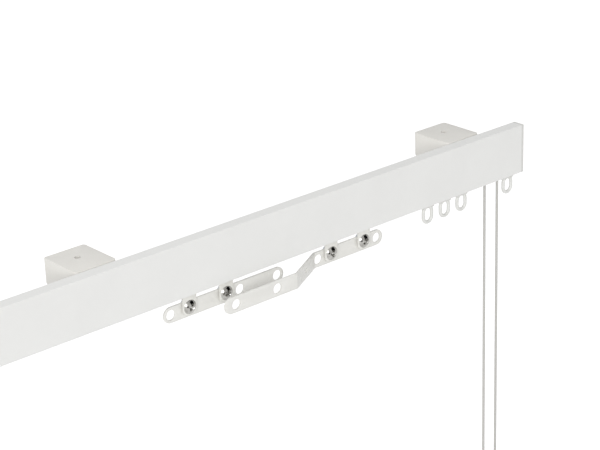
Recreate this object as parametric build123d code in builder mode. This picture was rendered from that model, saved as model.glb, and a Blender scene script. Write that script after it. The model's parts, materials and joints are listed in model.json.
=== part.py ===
"""Corded curtain track for a pair of curtains that meet in an overlap.

Millimetres. X runs along the track, the fascia faces -Y, +Z is up. The origin is midway between the two
ceiling screw holes, on the flat tops of the brackets. Inside this file, places along the track are counted
from the middle of the overlap, depths from the middle of the profile, and heights from the profile's top.
"""

import os
from math import atan2, cos, degrees, pi, radians, sqrt

from build123d import *

os.makedirs("parts", exist_ok=True)

# Clearances
free_gap = 0.3
contact_gap = 0.2
running_gap = 0.05
pin_gap = 0.02
cord_gap = 0.1

# Profile
track_length = 578.0
right_reach = 283.0
track_height = 40.0
track_depth = 10.5
wall = 1.2
edge_round = 0.4
web_drop = 12.2
web_thickness = 1.0
channel_height = 4.1
rib_thickness = 1.0
rib_reach = 0.8
lip_thickness = 1.5
slot_width = 4.0

# Groove in the back of the profile, for the brackets
groove_drop = 7.5
groove_mouth = 5.0
groove_height = 9.0
groove_depth = 2.4
groove_back = 1.0

# End caps
cap_thickness = 2.4
cap_plug_length = 12.0

# Ceiling brackets
bracket_spacing = 351.0
overlap_from_middle = -50.2
bracket_width = 34.0
bracket_depth = 38.0
bracket_height = 20.0
bracket_wall = 3.0
bracket_top = 3.0
bracket_corner = 2.5
bracket_rim_round = 2.2
shadow_gap = 0.6
track_drop = 0.5
ceiling_hole_d = 4.5
ceiling_hole_setback = 21.4
ceiling_boss_d = 11.0
ceiling_boss_length = 8.0
pad_width = 24.0
pad_height = 10.0

# Clamp screw and plate nut of a bracket
clamp_d = 4.0
clamp_hole_d = 4.4
clamp_head_d = 7.0
clamp_head_length = 4.0
clamp_socket = 3.0
clamp_socket_depth = 2.0
plate_nut_length = 14.0
plate_nut_thickness = 2.0

# Draw cord and its wheels
cord_d = 2.2
wheel_flange = 0.8
wheel_width = 4.6
axle_d = 2.0
upper_run_below_web = 2.2
wheel_above_lips = 1.7
outer_fall_inset = 25.0
fall_spacing = 14.4
return_wheel_inset = 10.5
cord_passage_d = 2.8

# Housings at the two ends
drive_housing_length = 33.9
return_foot_length = 2.0
wheel_pocket_gap = 0.2
housing_screw_above_lips = 8.3
housing_screw_d = 2.9
housing_screw_length = 5.0
housing_screw_head_d = 5.2
housing_screw_head = 1.4
drive_screw_from_outer_fall = 7.1
return_screw_from_wheel = 8.5

# Gliders
glider_length = 18.3
glider_count = 3
glider_neck_length = 9.0
glider_neck_gap = 0.3
glider_bridge_drop = 1.8
glider_plate_height = 1.0
glider_plate_depth = 6.0
loop_width = 12.0
loop_wire = 3.0
loop_thickness = 2.6
loop_drop = 16.4
loop_hole_length = 9.8
loop_fillet = 1.2
loop_edge = 0.7
end_glider_inset = 13.4

# Master carriers
carrier_end = 2.0
leg_width = 12.0
leg_thickness = 2.6
leg_drop = 15.9
leg_corner = 3.5
leg_rebate = 2.6
leg_rebate_low = 1.2
leg_rebate_depth = 1.2
screw_spacing = 33.0
screw_above_arm = 2.3
left_first_screw = -54.8
right_first_screw = 78.5
stalk_length = 10.0
stalk_width = 4.8
clamp_length = 8.0
clamp_leg = 1.0
clamp_reach = 2.5
clamp_rise = 1.9

# Overlap arms
arm_height = 12.2
arm_thickness = 1.5
arm_drop = 12.5
arm_hole_d = 7.5
rear_hook_1 = -69.9
rear_hook_2 = -7.7
rear_hook_3 = 27.2
front_hook_1 = -26.2
front_hook_2 = 11.8
front_hook_3 = 67.2
front_hook_4 = 126.3
front_arm_end = -36.5
joggle_front = 30.4
joggle_rear = 63.6
joggle_offset = 18.5
joggle_bend = 1.6
joggle_hole_d = 4.0

# Arm screws and nuts
arm_screw_d = 5.0
arm_screw_hole_d = 5.3
pan_head_d = 10.6
pan_head_height = 3.3
pan_rim = 1.0
recess_width = 2.0
recess_length = 7.2
recess_depth = 2.2
nut_flats = 8.0
nut_thickness = 2.7

# Cord weight
weight_pitch_r = fall_spacing / 2
weight_wheel_drop = 304.0
weight_wheel_flange = 1.0
weight_wheel_width = 5.0
weight_axle_d = 3.0
weight_r = 12.0
weight_rise = 11.0
weight_length = 61.0
weight_top_round = 5.0
weight_bottom_round = 1.5
core_r = 8.0
core_length = 32.0
core_bottom_inset = 6.0
weight_cap_r = 10.0
weight_cap_thickness = 3.0

# Route of the hanging cord, X and Z, chosen by hand: down, round the weight's wheel and up again
fall_route = [
    (193.4, -40.5),
    (193.4, -307.5),
    (197.6, -311.7),
    (203.6, -311.7),
    (207.8, -307.5),
    (207.8, -40.5),
]
fall_bend_r = 6.6

# Places that follow from the sizes
overlap_x = overlap_from_middle
track_y = -(ceiling_hole_setback + shadow_gap + track_depth / 2)
track_top = -track_drop
right_end = right_reach
left_end = right_reach - track_length
back = track_depth / 2
inner = back - wall
rib_gap = inner - rib_reach
lip_top = -(track_height - lip_thickness)
channel_top = lip_top + channel_height
rib_top = channel_top + rib_thickness
chamber_top = -(web_drop + web_thickness)
cord_r = cord_d / 2
upper_run = chamber_top - upper_run_below_web
wheel_pitch_r = (upper_run - lip_top - wheel_above_lips - cord_r - free_gap) / 4
lower_run = upper_run - 2 * wheel_pitch_r
outer_fall = right_end - outer_fall_inset
inner_fall = outer_fall - fall_spacing
upper_wheel = (outer_fall - wheel_pitch_r, upper_run - wheel_pitch_r)
lower_wheel = (inner_fall - wheel_pitch_r, lower_run - wheel_pitch_r)
return_wheel = (left_end + return_wheel_inset, upper_run - wheel_pitch_r)
wheel_r = wheel_pitch_r + wheel_flange
pocket_r = wheel_pitch_r + cord_r + free_gap
pocket_half = wheel_width / 2 + wheel_pocket_gap
end_glider_right_x = right_end - end_glider_inset
end_glider_left_x = left_end + end_glider_inset
drive_right = end_glider_right_x - glider_length / 2 - free_gap
drive_left = drive_right - drive_housing_length
return_left = left_end + cap_thickness + free_gap
foot_left = end_glider_left_x + glider_length / 2 + free_gap
return_right = foot_left + return_foot_length
glider_pitch = glider_length + free_gap
first_right_glider = drive_left - free_gap - glider_length / 2
first_left_glider = return_right + free_gap + glider_length / 2
arm_z = -(track_height + arm_drop)
screw_z = arm_z + screw_above_arm
arm_front = leg_thickness / 2
arm_back = arm_front + arm_thickness
bracket_front = back + shadow_gap
clamp_z = -groove_drop
housing_screw_z = lip_top + housing_screw_above_lips
drive_screw_x = outer_fall - drive_screw_from_outer_fall
return_screw_x = return_wheel[0] + return_screw_from_wheel
glider_head_height = channel_height - free_gap
rear_arm_holes = (rear_hook_1, rear_hook_2, rear_hook_3)
front_arm_holes = (front_hook_1, front_hook_2, front_hook_3, front_hook_4)
weight_x = (inner_fall + outer_fall) / 2
weight_z = -weight_wheel_drop


def across(x):
    """The plane of a cross-section: local x is depth, local y is height, and it faces +X."""
    return Plane(origin=(overlap_x + x, track_y, track_top), x_dir=(0, 1, 0), z_dir=(1, 0, 0))


def facing(depth):
    """The plane of a front view at a depth: local x is along the track, local y is height, and it faces -Y."""
    return Plane(origin=(overlap_x, track_y + depth, track_top), x_dir=(1, 0, 0), z_dir=(0, -1, 0))


def level(z):
    """The plane of a top view at a height: local x is along the track, local y is depth, and it faces +Z."""
    return Plane(origin=(overlap_x, track_y, track_top + z))


def block(x0, x1, z0, z1, mode=Mode.ADD):
    """A rectangle in a sketch between two corners."""
    with Locations(((x0 + x1) / 2, (z0 + z1) / 2)):
        Rectangle(abs(x1 - x0), abs(z1 - z0), mode=mode)


def write(builder, name):
    """Labels a finished piece and writes its file."""
    builder.part.label = name
    export_step(builder.part, f"parts/{name}.step")


# Profile: a flat box with a stiffening chamber, a groove at the back, a cord chamber and the glider channel
with BuildPart() as track_profile:
    profile_left = left_end + cap_thickness
    profile_right = right_end - cap_thickness
    with BuildSketch(across(profile_left)):
        block(-back, back, -track_height, 0)
        fillet(vertices(), radius=edge_round)
        block(-inner, inner - groove_depth - groove_back, -web_drop, -wall, Mode.SUBTRACT)
        groove_low = clamp_z - groove_height / 2
        block(inner - groove_depth, inner, groove_low, groove_low + groove_height, Mode.SUBTRACT)
        block(inner, back, clamp_z - groove_mouth / 2, clamp_z + groove_mouth / 2, Mode.SUBTRACT)
        block(-inner, inner, rib_top, chamber_top, Mode.SUBTRACT)
        block(-rib_gap, rib_gap, channel_top, rib_top, Mode.SUBTRACT)
        block(-inner, inner, lip_top, channel_top, Mode.SUBTRACT)
        block(-slot_width / 2, slot_width / 2, -track_height, lip_top, Mode.SUBTRACT)
    extrude(amount=profile_right - profile_left)
    with BuildSketch(facing(back)):
        with Locations((drive_screw_x, housing_screw_z), (return_screw_x, housing_screw_z)):
            Circle(housing_screw_d / 2 + free_gap / 2)
    extrude(amount=wall, mode=Mode.SUBTRACT)
write(track_profile, "track_profile")


def end_cap(side):
    """A cap with the profile's outline, a long plug for the upper chamber and a short one for the channel."""
    end = right_end if side > 0 else left_end
    face = end - side * cap_thickness
    with BuildPart() as cap:
        with BuildSketch(across(face)):
            block(-back, back, -track_height, 0)
            fillet(vertices(), radius=edge_round)
        extrude(amount=side * cap_thickness)
        with BuildSketch(across(face)):
            chamber_back = inner - groove_depth - groove_back
            block(
                -inner + contact_gap,
                chamber_back - contact_gap,
                -web_drop + contact_gap,
                -wall - contact_gap,
            )
        extrude(amount=-side * cap_plug_length)
        with BuildSketch(across(face)):
            block(-inner + free_gap, inner - free_gap, lip_top, channel_top - free_gap)
        extrude(amount=-side * (end_glider_inset - cap_thickness - glider_length / 2 - free_gap))
    return cap


for cap_name, cap_side in (("end_cap_left", -1), ("end_cap_right", 1)):
    write(end_cap(cap_side), cap_name)


def bracket(x):
    """A hollow ceiling block, open below, with a boss for the ceiling screw and a pad that seats on the track."""
    rear = bracket_front + bracket_depth
    half = bracket_width / 2
    hole_y = bracket_front + ceiling_hole_setback
    with BuildPart() as body:
        with BuildSketch(level(track_drop)):
            block(x - half, x + half, bracket_front, rear)
            fillet(vertices(), radius=bracket_corner)
        extrude(amount=-bracket_height)
        fillet(body.faces().sort_by(Axis.Z)[0].outer_wire().edges(), radius=bracket_rim_round)
        with BuildSketch(level(track_drop - bracket_top)):
            block(x - half + bracket_wall, x + half - bracket_wall, bracket_front + bracket_wall, rear - bracket_wall)
        extrude(amount=-bracket_height, mode=Mode.SUBTRACT)
        with BuildSketch(level(track_drop - bracket_top)):
            with Locations((x, hole_y)):
                Circle(ceiling_boss_d / 2)
        extrude(amount=-ceiling_boss_length)
        with BuildSketch(facing(bracket_front)):
            with Locations((x, clamp_z)):
                RectangleRounded(pad_width, pad_height, bracket_rim_round)
        extrude(amount=shadow_gap)
        with BuildSketch(level(track_drop)):
            with Locations((x, hole_y)):
                Circle(ceiling_hole_d / 2)
        extrude(amount=-bracket_top - ceiling_boss_length, mode=Mode.SUBTRACT)
        with BuildSketch(facing(bracket_front + bracket_wall)):
            with Locations((x, clamp_z)):
                Circle(clamp_hole_d / 2)
        extrude(amount=bracket_wall + shadow_gap, mode=Mode.SUBTRACT)
    return body


def plate_nut(x):
    """A steel plate in the profile's groove, tapped for the clamp screw."""
    with BuildPart() as nut:
        with BuildSketch(facing(inner)):
            with Locations((x, clamp_z)):
                Rectangle(plate_nut_length, groove_height - 2 * contact_gap)
                Circle(clamp_d / 2 + pin_gap, mode=Mode.SUBTRACT)
        extrude(amount=plate_nut_thickness)
    return nut


def clamp_screw(x):
    """A socket-head screw from the bracket's hollow into the plate nut."""
    seat = bracket_front + bracket_wall
    reach = seat - inner + plate_nut_thickness
    with BuildPart() as screw:
        with BuildSketch(facing(seat)):
            with Locations((x, clamp_z)):
                Circle(clamp_d / 2)
        extrude(amount=reach)
        with BuildSketch(facing(seat)):
            with Locations((x, clamp_z)):
                Circle(clamp_head_d / 2)
        extrude(amount=-clamp_head_length)
        with BuildSketch(facing(seat + clamp_head_length)):
            with Locations((x, clamp_z)):
                RegularPolygon(clamp_socket / 2, 6, major_radius=False)
        extrude(amount=clamp_socket_depth, mode=Mode.SUBTRACT)
    return screw


for side_name, place in (("left", -bracket_spacing / 2), ("right", bracket_spacing / 2)):
    bracket_x = place - overlap_x
    write(bracket(bracket_x), f"bracket_body_{side_name}")
    write(plate_nut(bracket_x), f"track_nut_{side_name}")
    write(clamp_screw(bracket_x), f"clamp_screw_{side_name}")


def cord_wheel(centre, pitch_r, flange, width, bore_r):
    """A grooved wheel on a crosswise axle, its groove as deep as the cord."""
    groove_r = cord_r + cord_gap
    with BuildPart() as wheel:
        with BuildSketch(facing(width / 2)):
            with Locations(centre):
                Circle(pitch_r + flange)
                Circle(bore_r, mode=Mode.SUBTRACT)
        extrude(amount=width)
        with BuildSketch(across(centre[0])):
            with Locations((0, centre[1] + pitch_r)):
                Circle(groove_r)
            block(-groove_r, groove_r, centre[1] + pitch_r, centre[1] + pitch_r + 2 * flange)
        wheel_axis = Axis((overlap_x + centre[0], track_y, track_top + centre[1]), (0, 1, 0))
        revolve(axis=wheel_axis, mode=Mode.SUBTRACT)
    return wheel


def axle(centre, radius, length):
    """A plain pin across the track."""
    with BuildPart() as pin:
        with BuildSketch(facing(length / 2)):
            with Locations(centre):
                Circle(radius)
        extrude(amount=length)
    return pin


housing_half = inner - free_gap
axle_length = 2 * (housing_half - running_gap)
inner_wheels = {"drop_pulley_upper": upper_wheel, "drop_pulley_lower": lower_wheel, "return_pulley": return_wheel}
inner_axles = {"drop_axle_upper": upper_wheel, "drop_axle_lower": lower_wheel, "return_axle": return_wheel}
for wheel_name, wheel_centre in inner_wheels.items():
    bore = axle_d / 2 + running_gap
    write(cord_wheel(wheel_centre, wheel_pitch_r, wheel_flange, wheel_width, bore), wheel_name)
for axle_name, axle_centre in inner_axles.items():
    write(axle(axle_centre, axle_d / 2, axle_length), axle_name)


def drive_housing(half):
    """Half of the right end's housing: -1 is the front half and carries the fascia side, +1 is the rear half."""
    passage = cord_passage_d / 2
    with BuildPart() as body:
        with BuildSketch(across(drive_left)):
            block(0, half * housing_half, lip_top, chamber_top - contact_gap)
            block(0, half * (slot_width / 2 - contact_gap), -track_height, lip_top)
            rib_low = channel_top - contact_gap
            rib_high = rib_top + contact_gap
            block(half * (rib_gap - free_gap), half * housing_half, rib_low, rib_high, Mode.SUBTRACT)
        extrude(amount=drive_right - drive_left)
        with BuildSketch(facing(0)):
            with Locations(upper_wheel, lower_wheel):
                Circle(pocket_r)
        extrude(amount=-half * pocket_half, mode=Mode.SUBTRACT)
        with BuildSketch(facing(0)):
            block(drive_left, lower_wheel[0], lower_run - passage, lower_run + passage)
            block(drive_left, upper_wheel[0], upper_run - passage, upper_run + passage)
            block(inner_fall - passage, inner_fall + passage, -track_height, lower_wheel[1])
            block(outer_fall - passage, outer_fall + passage, -track_height, upper_wheel[1])
        extrude(amount=-half * passage, mode=Mode.SUBTRACT)
        with BuildSketch(facing(0)):
            with Locations(upper_wheel, lower_wheel):
                Circle(axle_d / 2 + pin_gap)
        extrude(amount=-half * housing_half, mode=Mode.SUBTRACT)
        if half > 0:
            with BuildSketch(facing(housing_half)):
                with Locations((drive_screw_x, housing_screw_z)):
                    Circle(housing_screw_d / 2 + pin_gap)
            extrude(amount=housing_half, mode=Mode.SUBTRACT)
    return body


def return_housing(half):
    """Half of the left end's housing, above the channel, with a foot that keeps the end glider in its place."""
    passage = cord_passage_d / 2
    with BuildPart() as body:
        with BuildSketch(across(return_left)):
            block(0, half * housing_half, rib_top, chamber_top - contact_gap)
        extrude(amount=return_right - return_left)
        with BuildSketch(across(foot_left)):
            block(0, half * (rib_gap - free_gap), lip_top, rib_top)
        extrude(amount=return_foot_length)
        with BuildSketch(facing(0)):
            with Locations(return_wheel):
                Circle(pocket_r)
        extrude(amount=-half * pocket_half, mode=Mode.SUBTRACT)
        with BuildSketch(facing(0)):
            block(return_wheel[0], return_right, lower_run - passage, lower_run + passage)
            block(return_wheel[0], return_right, upper_run - passage, upper_run + passage)
        extrude(amount=-half * passage, mode=Mode.SUBTRACT)
        with BuildSketch(facing(0)):
            with Locations(return_wheel):
                Circle(axle_d / 2 + pin_gap)
        extrude(amount=-half * housing_half, mode=Mode.SUBTRACT)
        if half > 0:
            with BuildSketch(facing(housing_half)):
                with Locations((return_screw_x, housing_screw_z)):
                    Circle(housing_screw_d / 2 + pin_gap)
            extrude(amount=housing_half, mode=Mode.SUBTRACT)
    return body


for half_name, half_side in (("front", -1), ("rear", 1)):
    write(drive_housing(half_side), f"drive_housing_{half_name}")
    write(return_housing(half_side), f"return_housing_{half_name}")

# One self-tapping screw through the back wall into each housing
with BuildPart() as housing_screws:
    screw_places = ((drive_screw_x, housing_screw_z), (return_screw_x, housing_screw_z))
    with BuildSketch(facing(back)):
        with Locations(*screw_places):
            Circle(housing_screw_d / 2)
    extrude(amount=housing_screw_length)
    with BuildSketch(facing(back)):
        with Locations(*screw_places):
            Circle(housing_screw_head_d / 2)
    extrude(amount=-housing_screw_head)
write(housing_screws, "housing_screws")

# The two runs inside the track: up past the lower wheel, along, round the far wheel, back and down
with BuildPart() as draw_cord_inner:
    exit_z = -track_height
    with BuildLine(facing(0)):
        Line((inner_fall, exit_z), (inner_fall, lower_wheel[1]))
        CenterArc(lower_wheel, wheel_pitch_r, 0, 90)
        Line((lower_wheel[0], lower_run), (return_wheel[0], lower_run))
        CenterArc(return_wheel, wheel_pitch_r, 270, -180)
        Line((return_wheel[0], upper_run), (upper_wheel[0], upper_run))
        CenterArc(upper_wheel, wheel_pitch_r, 90, -90)
        Line((outer_fall, upper_wheel[1]), (outer_fall, exit_z))
    with BuildSketch(level(exit_z)):
        with Locations((inner_fall, 0)):
            Circle(cord_r)
    sweep()
write(draw_cord_inner, "draw_cord_inner")

# The cord that hangs below the track and carries the weight
with BuildPart() as draw_cord_falls:
    with BuildLine(Plane(origin=(0, track_y, 0), x_dir=(1, 0, 0), z_dir=(0, -1, 0))) as fall_line:
        FilletPolyline(*fall_route, radius=fall_bend_r)
    with BuildSketch(Plane.XY.offset(fall_route[0][1])):
        with Locations((fall_route[0][0], track_y)):
            Circle(cord_r)
    sweep()
write(draw_cord_falls, "draw_cord_falls")
fall_length = fall_line.wires()[0].length
print("hanging cord length", round(fall_length, 1), "bend radius", fall_bend_r)
print("tube volume over section times length", round(draw_cord_falls.part.volume / (pi * cord_r**2 * fall_length), 4))


def glider(x):
    """A glider: head on the channel's lips, neck through the slot, cover plate and a closed loop."""
    bridge_top = -track_height - free_gap
    bridge_low = bridge_top - glider_bridge_drop
    loop_low = -track_height - loop_drop
    loop_r = loop_width / 2
    hole_r = loop_r - loop_wire
    hole_low = loop_low + loop_wire
    hole_middle = hole_low + loop_hole_length / 2
    half = glider_length / 2
    neck_half = glider_neck_length / 2
    with BuildPart() as body:
        with BuildSketch(facing(loop_thickness / 2)):
            block(x - half, x + half, bridge_low, bridge_top)
            block(x - loop_r, x + loop_r, loop_low + loop_r, bridge_low)
            fillet(vertices().group_by(Axis.Y)[1].sort_by(Axis.X)[1:3], radius=loop_fillet)
            with Locations((x, loop_low + loop_r)):
                Circle(loop_r)
            with Locations((x, hole_middle)):
                SlotOverall(loop_hole_length, 2 * hole_r, rotation=90, mode=Mode.SUBTRACT)
        extrude(amount=loop_thickness)
        rims = body.faces().filter_by(Axis.Y).edges()
        fillet(rims.filter_by(lambda rim: rim.center().Z < track_top + bridge_low + contact_gap), radius=loop_edge)
        with BuildSketch(level(bridge_top)):
            with Locations((x, 0)):
                RectangleRounded(glider_length, glider_plate_depth, loop_edge)
        extrude(amount=-glider_plate_height)
        with BuildSketch(level(bridge_top)):
            block(x - neck_half, x + neck_half, -slot_width / 2 + glider_neck_gap, slot_width / 2 - glider_neck_gap)
        extrude(amount=lip_top - bridge_top)
        with BuildSketch(level(lip_top)):
            with Locations((x, 0)):
                RectangleRounded(glider_length, 2 * (inner - free_gap), loop_edge)
        extrude(amount=glider_head_height)
    return body


for number in range(glider_count):
    write(glider(first_right_glider - number * glider_pitch), f"glider_right_{number + 1}")
    write(glider(first_left_glider + number * glider_pitch), f"glider_left_{number + 1}")
write(glider(end_glider_right_x), "end_glider_right")
write(glider(end_glider_left_x), "end_glider_left")


def carrier(first_screw, run):
    """A master carrier: a long head, two legs for the arm and a stalk up to its own run of the cord.

    Each leg meets the arm with a raised pad, and its back is cut away round that pad.
    """
    middle = first_screw + screw_spacing / 2
    half = screw_spacing / 2 + leg_width / 2 + carrier_end
    foot = -track_height - leg_drop
    neck_low = -track_height - free_gap
    pad_half = leg_width / 2 - leg_rebate
    with BuildPart() as body:
        with BuildSketch(facing(leg_thickness / 2)):
            for screw_x in (first_screw, first_screw + screw_spacing):
                block(screw_x - leg_width / 2, screw_x + leg_width / 2, foot, lip_top)
            fillet(vertices().group_by(Axis.Y)[0], radius=leg_corner)
        extrude(amount=leg_thickness)
        with BuildSketch(level(lip_top)):
            with Locations((middle, 0)):
                RectangleRounded(2 * half, 2 * (inner - free_gap), loop_edge)
        extrude(amount=glider_head_height)
        with BuildSketch(level(lip_top)):
            for screw_x in (first_screw, first_screw + screw_spacing):
                with Locations((screw_x, 0)):
                    Rectangle(leg_width, slot_width - 2 * glider_neck_gap)
        extrude(amount=neck_low - lip_top)
        with BuildSketch(facing(leg_thickness / 2)):
            for screw_x in (first_screw, first_screw + screw_spacing):
                block(screw_x - leg_width / 2, screw_x + leg_width / 2, foot, neck_low)
                block(screw_x - pad_half, screw_x + pad_half, foot + leg_rebate_low, neck_low, Mode.SUBTRACT)
        extrude(amount=leg_rebate_depth, mode=Mode.SUBTRACT)
        with BuildSketch(across(middle - stalk_length / 2)):
            block(-stalk_width / 2, stalk_width / 2, lip_top + glider_head_height, run)
            with Locations((0, run)):
                Circle(cord_r + cord_gap, mode=Mode.SUBTRACT)
            if run > lower_run:
                with Locations((0, lower_run)):
                    Circle(cord_passage_d / 2, mode=Mode.SUBTRACT)
        extrude(amount=stalk_length)
        with BuildSketch(facing(leg_thickness / 2)):
            with Locations((first_screw, screw_z), (first_screw + screw_spacing, screw_z)):
                Circle(arm_screw_hole_d / 2)
        extrude(amount=leg_thickness, mode=Mode.SUBTRACT)
    return body


def cord_clamp(first_screw, run):
    """A saddle pressed over the stalk, which pinches the cord."""
    middle = first_screw + screw_spacing / 2
    outer = stalk_width / 2 + clamp_leg
    with BuildPart() as clamp:
        with BuildSketch(across(middle - clamp_length / 2)):
            block(-outer, outer, run - clamp_reach, run + clamp_rise)
            block(-stalk_width / 2, stalk_width / 2, run - clamp_reach, run, Mode.SUBTRACT)
            with Locations((0, run)):
                Circle(cord_r + cord_gap, mode=Mode.SUBTRACT)
        extrude(amount=clamp_length)
    return clamp


def arm_screws(first_screw):
    """Two pan-head screws with a cross recess, from the room side through leg and arm."""
    seat = -leg_thickness / 2
    reach = arm_back + nut_thickness - contact_gap - seat
    dome_r = ((pan_head_d / 2) ** 2 + (pan_head_height - pan_rim) ** 2) / (2 * (pan_head_height - pan_rim))
    places = ((first_screw, screw_z), (first_screw + screw_spacing, screw_z))
    with BuildPart() as screws:
        for screw_x, z in places:
            with BuildSketch(across(screw_x)):
                with BuildLine():
                    rim = (seat - pan_rim, z + pan_head_d / 2)
                    top = (seat - pan_head_height, z)
                    Polyline((seat, z), (seat, z + pan_head_d / 2), rim)
                    RadiusArc(rim, top, dome_r, short_sagitta=True)
                    Line(top, (seat, z))
                make_face()
            revolve(axis=Axis((overlap_x + screw_x, track_y, track_top + z), (0, 1, 0)))
        with BuildSketch(facing(seat)):
            with Locations(*places):
                Circle(arm_screw_d / 2)
        extrude(amount=-reach)
        with BuildSketch(facing(seat - pan_head_height)):
            with Locations(*places):
                Rectangle(recess_length, recess_width)
                Rectangle(recess_width, recess_length)
        extrude(amount=-recess_depth, mode=Mode.SUBTRACT, taper=10)
    return screws


def arm_nuts(first_screw):
    """Two hexagon nuts on the back of the arm."""
    places = ((first_screw, screw_z), (first_screw + screw_spacing, screw_z))
    with BuildPart() as nuts:
        with BuildSketch(facing(arm_back)):
            with Locations(*places):
                RegularPolygon(nut_flats / 2, 6, major_radius=False)
                Circle(arm_screw_d / 2 + pin_gap, mode=Mode.SUBTRACT)
        extrude(amount=-nut_thickness)
    return nuts


carriers = (("left", left_first_screw, upper_run), ("right", right_first_screw, lower_run))
for side_name, first, run_z in carriers:
    write(carrier(first, run_z), f"carrier_{side_name}")
    write(cord_clamp(first, run_z), f"cord_clamp_{side_name}")
    write(arm_screws(first), f"arm_screws_{side_name}")
    write(arm_nuts(first), f"arm_nuts_{side_name}")

# Rear arm: a straight strip behind the left carrier's legs
with BuildPart() as overlap_arm_rear:
    rear_left = rear_arm_holes[0] - arm_height / 2
    rear_right = rear_arm_holes[-1] + arm_height / 2
    with BuildSketch(facing(arm_back)):
        with Locations(((rear_left + rear_right) / 2, arm_z)):
            SlotOverall(rear_right - rear_left, arm_height)
        with Locations(*[(hole, arm_z) for hole in rear_arm_holes]):
            Circle(arm_hole_d / 2, mode=Mode.SUBTRACT)
        with Locations((left_first_screw, screw_z), (left_first_screw + screw_spacing, screw_z)):
            Circle(arm_screw_hole_d / 2, mode=Mode.SUBTRACT)
    extrude(amount=arm_thickness)
write(overlap_arm_rear, "overlap_arm_rear")

# Front arm: the strip on the right carrier, stepped forwards so that the two curtains overlap
with BuildPart() as overlap_arm_front:
    strip_y = arm_front + arm_thickness / 2
    front_right = front_arm_holes[-1] + arm_height / 2
    with BuildSketch(level(arm_z - arm_height / 2)):
        with BuildLine():
            FilletPolyline(
                (front_arm_end, strip_y - joggle_offset),
                (joggle_front, strip_y - joggle_offset),
                (joggle_rear, strip_y),
                (front_right, strip_y),
                radius=joggle_bend,
            )
        trace(line_width=arm_thickness)
    extrude(amount=arm_height)
    with BuildSketch(facing(arm_back)):
        with Locations(((front_arm_end + front_right) / 2, arm_z)):
            SlotOverall(front_right - front_arm_end, arm_height)
    extrude(amount=joggle_offset + 2 * arm_thickness, mode=Mode.INTERSECT)
    with BuildSketch(facing(arm_back)):
        with Locations(*[(hole, arm_z) for hole in front_arm_holes]):
            Circle(arm_hole_d / 2)
        with Locations((right_first_screw, screw_z), (right_first_screw + screw_spacing, screw_z)):
            Circle(arm_screw_hole_d / 2)
    extrude(amount=joggle_offset + 2 * arm_thickness, mode=Mode.SUBTRACT)
    joggle_turn = degrees(atan2(joggle_offset, joggle_rear - joggle_front))
    joggle_middle = (overlap_x + (joggle_front + joggle_rear) / 2, track_y + strip_y - joggle_offset / 2)
    joggle_plane = Plane(
        origin=(joggle_middle[0], joggle_middle[1], track_top + arm_z),
        x_dir=(1, 0, 0),
        z_dir=(0, -1, 0),
    ).rotated((0, joggle_turn, 0))
    with BuildSketch(joggle_plane):
        Circle(joggle_hole_d / 2)
    extrude(amount=arm_thickness, both=True, mode=Mode.SUBTRACT)
write(overlap_arm_front, "overlap_arm_front")

# Cord weight: a turned shell with a wheel in its mouth and a steel core behind a bottom cap
weight_top = weight_z + weight_rise
weight_bottom = weight_top - weight_length
weight_wheel_r = weight_pitch_r + weight_wheel_flange
with BuildPart() as weight_shell:
    with BuildSketch(level(weight_bottom)):
        with Locations((weight_x, 0)):
            Circle(weight_r)
    extrude(amount=weight_length)
    fillet(weight_shell.edges().sort_by(Axis.Z)[-1], radius=weight_top_round)
    fillet(weight_shell.edges().sort_by(Axis.Z)[0], radius=weight_bottom_round)
    mouth_r = weight_pitch_r + cord_r + free_gap
    mouth_half = weight_wheel_width / 2 + free_gap
    with BuildSketch(facing(mouth_half)):
        with Locations((weight_x, weight_z)):
            Circle(mouth_r)
        block(weight_x - mouth_r, weight_x + mouth_r, weight_z, weight_top)
    extrude(amount=2 * mouth_half, mode=Mode.SUBTRACT)
    with BuildSketch(facing(weight_r)):
        with Locations((weight_x, weight_z)):
            Circle(weight_axle_d / 2 + pin_gap)
    extrude(amount=2 * weight_r, mode=Mode.SUBTRACT)
    with BuildSketch(level(weight_bottom)):
        with Locations((weight_x, 0)):
            Circle(core_r + contact_gap)
    extrude(amount=core_bottom_inset + core_length + contact_gap, mode=Mode.SUBTRACT)
    with BuildSketch(level(weight_bottom)):
        with Locations((weight_x, 0)):
            Circle(weight_cap_r + running_gap)
    extrude(amount=weight_cap_thickness, mode=Mode.SUBTRACT)
write(weight_shell, "weight_shell")

with BuildPart() as weight_core:
    with BuildSketch(level(weight_bottom + core_bottom_inset)):
        with Locations((weight_x, 0)):
            Circle(core_r)
    extrude(amount=core_length)
write(weight_core, "weight_core")

with BuildPart() as weight_cap:
    with BuildSketch(level(weight_bottom)):
        with Locations((weight_x, 0)):
            Circle(weight_cap_r)
    extrude(amount=weight_cap_thickness)
    with BuildSketch(level(weight_bottom + weight_cap_thickness)):
        with Locations((weight_x, 0)):
            Circle(core_r)
    extrude(amount=core_bottom_inset - weight_cap_thickness)
write(weight_cap, "weight_cap")

weight_bore = weight_axle_d / 2 + running_gap
weight_axle_length = 2 * sqrt(weight_r**2 - (weight_axle_d / 2) ** 2) - free_gap
weight_pulley = cord_wheel((weight_x, weight_z), weight_pitch_r, weight_wheel_flange, weight_wheel_width, weight_bore)
write(weight_pulley, "weight_pulley")
write(axle((weight_x, weight_z), weight_axle_d / 2, weight_axle_length), "weight_axle")
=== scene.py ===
"""The looks of a corded curtain track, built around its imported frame.

Metres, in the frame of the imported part: X runs along the track, the fascia faces -Y and +Z is up. Sizes
in the classes are millimetres, as on a maker's drawing, unless a comment names another unit. A piece
that starts from a primitive is modelled in millimetres about its own reference point, and settle()
brings it to metres and to its place. The cord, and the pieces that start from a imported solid, are
modelled in metres.
"""

import json
import logging
import math
from collections.abc import Callable, Iterator, Sequence
from contextlib import contextmanager
from dataclasses import dataclass, field
from enum import Enum
from functools import cache

import bpy
from mathutils import Matrix, Vector

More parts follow.
